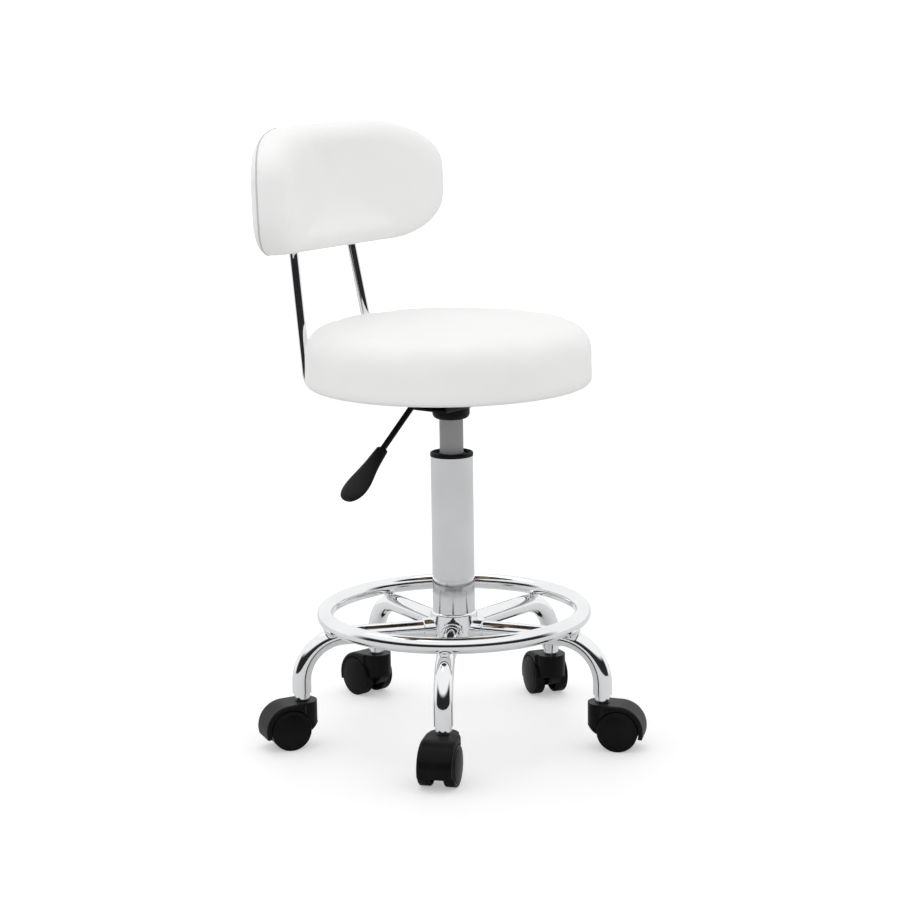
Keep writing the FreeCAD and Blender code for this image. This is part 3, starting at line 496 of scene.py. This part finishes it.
# ---------------------------------------------------------------- back pad
def pad_outline(inset):
    """Points (x, z) round the pad's front view, set in by inset."""
    half = PAD_HALF_WIDTH - inset
    low = PAD_BOTTOM + inset
    high = PAD_BOTTOM + PAD_HEIGHT - inset
    corners = ((1, 1, PAD_TOP_CORNER), (-1, 1, PAD_TOP_CORNER), (-1, -1, PAD_BOTTOM_CORNER),
               (1, -1, PAD_BOTTOM_CORNER))
    points = []
    for turn, (side, up, corner) in enumerate(corners):
        wide, tall = corner[0] - inset, corner[1] - inset
        x = side * (half - wide)
        z = high - tall if up > 0 else low + tall
        for step in range(CORNER_STEPS):
            angle = 0.5 * math.pi * (turn + step / (CORNER_STEPS - 1))
            points.append((x + wide * math.cos(angle), z + tall * math.sin(angle)))
    return points


def pad_point(x, z, depth):
    """Point of the pad from its front view and its depth behind the middle surface."""
    middle_y = math.sqrt(PAD_CURVE_R ** 2 - x * x)
    outward = Vector((x, middle_y, 0)) / PAD_CURVE_R
    point = Vector((x, PAD_MID_Y - PAD_CURVE_R + middle_y, z)) + outward * depth
    foot = Vector((0, PAD_MID_Y, PAD_BOTTOM))
    return foot + Matrix.Rotation(PAD_LEAN, 3, "X") @ (point - foot)


def back_edge(turn):
    """Depth and inset round the pad's back edge: 0 on its back face, a quarter turn on its rim."""
    return PAD_BACK - PAD_BACK_EDGE_R * (1 - math.cos(turn)), PAD_BACK_EDGE_R * (1 - math.sin(turn))


def front_edge(turn):
    """The same round its front edge: 0 on its rim, a quarter turn on its front face."""
    return PAD_FRONT_EDGE_R * (1 - math.sin(turn)) - PAD_FRONT, PAD_FRONT_EDGE_R * (1 - math.cos(turn))


def make_back_pad():
    turns = [0.5 * math.pi * step / EDGE_STEPS for step in range(EDGE_STEPS + 1)]
    section = [back_edge(turn) for turn in turns] + [front_edge(turn) for turn in turns]
    loops = [[pad_point(x, z, depth) for x, z in pad_outline(inset)] for depth, inset in section]
    middle_z = PAD_BOTTOM + 0.5 * PAD_HEIGHT
    for share in PAD_ROWS:
        crown = PAD_CROWN * (1 - share * share)
        for inset, depth in ((PAD_BACK_EDGE_R, PAD_BACK), (PAD_FRONT_EDGE_R, -PAD_FRONT - crown)):
            inner = [(share * x, middle_z + share * (z - middle_z)) for x, z in pad_outline(inset)]
            loop = [pad_point(x, z, depth) for x, z in inner]
            loops.insert(0 if depth > 0 else len(loops), loop)
    back, front = pad_point(0, middle_z, PAD_BACK), pad_point(0, middle_z, -PAD_FRONT - PAD_CROWN)
    pad = new_object("back_cover", closed_loops("back_cover", loops, back, front))
    inflate(pad, PAD_SWELL, PAD_RELAX, lambda point: 1.0)
    press_screws(pad)
    finish_pad(pad, "back_pad")
    return pad


def press_screws(pad):
    """Draw the back panel in round each screw, so that its head shows in a shallow dimple."""
    low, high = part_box("back_screws")
    bottom = high.y - SCREW_HEAD_SHOWS
    full, rim = DIMPLE_R
    for x in (low.x + SCREW_HEAD_R, high.x - SCREW_HEAD_R):
        for z in (low.z + SCREW_HEAD_R, high.z - SCREW_HEAD_R):
            for vertex in pad.data.vertices:
                away = math.hypot(vertex.co.x - x, vertex.co.z - z)
                share = min(1.0, max(0.0, (rim - away) / (rim - full)))
                share *= share * (3 - 2 * share)
                vertex.co.y -= share * max(0.0, vertex.co.y - bottom)


def make_welt(pad):
    """Piped seam between the pad's back panel and its rim, laid on the finished cover. Its grey is painted
    shade: it draws the thin shadow line along the seam.
    """
    depth, inset = back_edge(WELT_TURN)
    curve = bpy.data.curves.new("back_seam", "CURVE")
    curve.dimensions = "3D"
    curve.bevel_depth = WELT_R
    curve.bevel_resolution = 3
    spline = curve.splines.new("NURBS")
    outline = pad_outline(inset)
    spline.points.add(len(outline) - 1)
    for point, (x, z) in zip(spline.points, outline):
        place = pad.closest_point_on_mesh(pad_point(x, z, depth))[1]
        point.co = (*place, 1)
    spline.use_cyclic_u = True
    spline.order_u = 4
    # The seam's grey colour is painted shade, the shadow line along the pad's back edge.
    fasten(new_object("back_seam", curve), "seat", SEAM_SHADE_PIPING)


# ---------------------------------------------------------------- under the seat
def cloth_hole(heading):
    """Radius of the cloth's cut-out along a heading: round the seat plate, and straight round the bracket."""
    if heading.y < TINY:
        return CLOTH_HOLE_R
    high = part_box("back_bracket")[1]
    past_end = (high.y + CLOTH_CLEAR) / heading.y
    past_side = (high.x + CLOTH_CLEAR) / max(abs(heading.x), TINY)
    return max(CLOTH_HOLE_R, min(past_end, past_side))


def make_dust_cloth():
    """Thin cloth under the seat board, cut out round the seat plate and the back bracket."""
    points, faces = [], []
    for spoke in range(CLOTH_SPOKES):
        angle = 2 * math.pi * spoke / CLOTH_SPOKES
        heading = Vector((math.cos(angle), math.sin(angle), 0))
        inner = cloth_hole(heading)
        slack = CLOTH_SAG * (CLOTH_R - inner) / (CLOTH_R - CLOTH_HOLE_R)
        for ring in range(CLOTH_RINGS):
            across = ring / (CLOTH_RINGS - 1)
            z = SEAT_BOTTOM - CLOTH_TUCK - slack * math.sin(math.pi * across)
            points.append(SEAT_CENTRE + heading * (inner + (CLOTH_R - inner) * across) + Vector((0, 0, z)))
    for spoke in range(CLOTH_SPOKES):
        after = (spoke + 1) % CLOTH_SPOKES
        for ring in range(CLOTH_RINGS - 1):
            a, b = spoke * CLOTH_RINGS + ring, after * CLOTH_RINGS + ring
            faces.append((a, b, b + 1, a + 1))
    piece = new_object("dust_cloth", mesh_from("dust_cloth", points, faces))
    thick = piece.modifiers.new("thick", "SOLIDIFY")
    thick.thickness = CLOTH_THICKNESS
    thick.offset = 0
    fasten(piece, "seat", DUST_CLOTH)


# ---------------------------------------------------------------- stage
def make_floor():
    """Round pale floor, brightened only where it is seen directly; past its edge the studio is seen."""
    mesh = bpy.data.meshes.new("floor")
    disc = bmesh.new()
    bmesh.ops.create_circle(disc, cap_ends=True, segments=ROUND_STEPS, radius=FLOOR_R)
    disc.to_mesh(mesh)
    disc.free()
    floor = new_object("floor", mesh)
    material, tree, shader = new_material("pale_floor")
    speckle = noise_node(tree, 3, 2)
    tint(tree, speckle.outputs["Fac"], shader.inputs["Base Color"], (0.70, 0.70, 0.70), (0.71, 0.71, 0.71))
    shader.inputs["Roughness"].default_value = 0.6
    shader.inputs["Specular IOR Level"].default_value = 0.2
    shader.inputs["Emission Color"].default_value = (1, 1, 1, 1)
    seen = add(tree, "ShaderNodeLightPath").outputs["Is Camera Ray"]
    tree.links.new(product(tree, seen, FLOOR_GLOW), shader.inputs["Emission Strength"])
    dress(floor, material)


def make_sky():
    """Soft white studio; what shines also mirrors the dark room low down on the camera's side."""
    world = bpy.data.worlds.new("studio")
    bpy.context.scene.world = world
    world.use_nodes = True
    tree = world.node_tree
    background = tree.nodes["Background"]
    direction = add(tree, "ShaderNodeTexCoord").outputs["Generated"]
    parts = add(tree, "ShaderNodeSeparateXYZ")
    tree.links.new(direction, parts.inputs["Vector"])
    facing = add(tree, "ShaderNodeVectorMath", operation="DOT_PRODUCT")
    facing.inputs[1].default_value = (-math.sin(VIEW_AZIMUTH), -math.cos(VIEW_AZIMUTH), 0)
    tree.links.new(direction, facing.inputs[0])
    low = fade(tree, parts.outputs["Z"], DARK_TOP, (1.0, 0.0))
    near = fade(tree, facing.outputs["Value"], DARK_SIDE, (0.0, 1.0))
    path = add(tree, "ShaderNodeLightPath")
    shade = product(tree, product(tree, low, near), path.outputs["Is Glossy Ray"])
    mix = add(tree, "ShaderNodeMix", data_type="RGBA")
    colours = [socket for socket in mix.inputs if socket.type == "RGBA"]
    colours[0].default_value = (1.0, 1.0, 1.0, 1)
    colours[1].default_value = (*DARK_ROOM, 1)
    tree.links.new(shade, mix.inputs[0])
    tree.links.new(mix.outputs[2], background.inputs["Color"])
    strength = add(tree, "ShaderNodeMath", operation="MULTIPLY_ADD")
    strength.inputs[1].default_value = SKY_GAIN
    strength.inputs[2].default_value = SKY_STRENGTH
    tree.links.new(path.outputs["Is Camera Ray"], strength.inputs[0])
    tree.links.new(strength.outputs["Value"], background.inputs["Strength"])


def make_lamp():
    """Soft square light overhead, behind the stool as the camera sees it."""
    lamp = bpy.data.lights.new("overhead", "AREA")
    lamp.shape = "SQUARE"
    lamp.size = LAMP_SIZE
    lamp.energy = LAMP_POWER
    holder = new_object("overhead", lamp)
    heading = VIEW_AZIMUTH + LAMP_AZIMUTH
    level = -LAMP_DISTANCE * math.cos(LAMP_ELEVATION)
    rise = LAMP_DISTANCE * math.sin(LAMP_ELEVATION)
    place = Vector((level * math.sin(heading), level * math.cos(heading), rise))
    holder.location = Vector((0, 0, LAMP_AIM_HEIGHT)) + place
    holder.rotation_euler = (-place).to_track_quat("-Z", "Y").to_euler()


def make_camera():
    """Camera of the matched view: it looks at the axis of the stool, a little tipped to one side."""
    turn = Matrix.Rotation(-VIEW_AZIMUTH, 3, "Z")
    aim = turn @ Vector((VIEW_AIM_SIDE, 0, VIEW_AIM_HEIGHT))
    back = turn @ Vector((0, -math.cos(VIEW_ELEVATION), math.sin(VIEW_ELEVATION)))
    right = turn @ Vector((1, 0, 0))
    up = back.cross(right)
    tipped_right = right * math.cos(VIEW_ROLL) + up * math.sin(VIEW_ROLL)
    tipped_up = up * math.cos(VIEW_ROLL) - right * math.sin(VIEW_ROLL)
    camera = new_object("camera", bpy.data.cameras.new("camera"))
    camera.data.lens = VIEW_LENS
    camera.data.sensor_width = SENSOR_WIDTH
    camera.data.clip_end = VIEW_FAR
    axes = Matrix((tipped_right, tipped_up, back)).transposed()
    camera.matrix_world = Matrix.Translation(aim + back * VIEW_DISTANCE) @ axes.to_4x4()
    bpy.context.scene.camera = camera


make_camera()
dress_frame()
make_seat()
back_pad = make_back_pad()
make_welt(back_pad)
make_dust_cloth()
make_floor()
make_sky()
make_lamp()
bpy.context.scene.view_settings.view_transform = "Standard"
